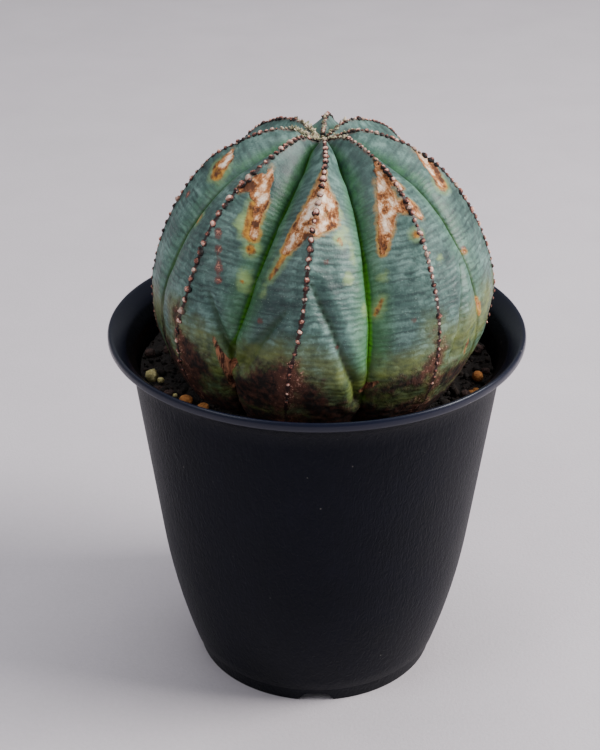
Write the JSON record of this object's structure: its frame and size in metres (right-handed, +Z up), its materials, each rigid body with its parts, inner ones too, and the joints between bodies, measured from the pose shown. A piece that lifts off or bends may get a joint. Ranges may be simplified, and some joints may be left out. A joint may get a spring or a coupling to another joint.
{
  "type": "potted euphorbia",
  "caption": "Ball-shaped, ribbed euphorbia rooted in potting mix with loose stone grains, in a tapered round black nursery pot with drain notches.",
  "frame": {"origin": "centre of the pot's foot, on the ground", "axes": "+Z up; -Y towards the front of the plant as it is shown"},
  "size_m": [0.105, 0.105, 0.1454],
  "materials": {
    "pot": "matte",
    "stem": "matte",
    "potting_mix": "matte",
    "pumice": "matte",
    "baked_clay": "matte",
    "lava": "matte"
  },
  "bodies": {
    "root": {"baked_clay_grain_01": "baked_clay", "baked_clay_grain_02": "baked_clay", "baked_clay_grain_03": "baked_clay", "baked_clay_grain_04": "baked_clay", "baked_clay_grain_05": "baked_clay", "baked_clay_grain_06": "baked_clay", "baked_clay_grain_07": "baked_clay", "baked_clay_grain_08": "baked_clay", "baked_clay_grain_09": "baked_clay", "baked_clay_grain_10": "baked_clay", "baked_clay_grain_11": "baked_clay", "euphorbia": "stem", "lava_grain_01": "lava", "lava_grain_02": "lava", "lava_grain_03": "lava", "lava_grain_04": "lava", "lava_grain_05": "lava", "lava_grain_06": "lava", "lava_grain_07": "lava", "lava_grain_08": "lava", "lava_grain_09": "lava", "lava_grain_10": "lava", "lava_grain_11": "lava", "lava_grain_12": "lava", "lava_grain_13": "lava", "lava_grain_14": "lava", "lava_grain_15": "lava", "lava_grain_16": "lava", "lava_grain_17": "lava", "lava_grain_18": "lava", "pot": "pot", "potting_mix": "potting_mix", "pumice_grain_01": "pumice", "pumice_grain_02": "pumice", "pumice_grain_03": "pumice", "pumice_grain_04": "pumice", "pumice_grain_05": "pumice"}
  },
  "joints": []
}
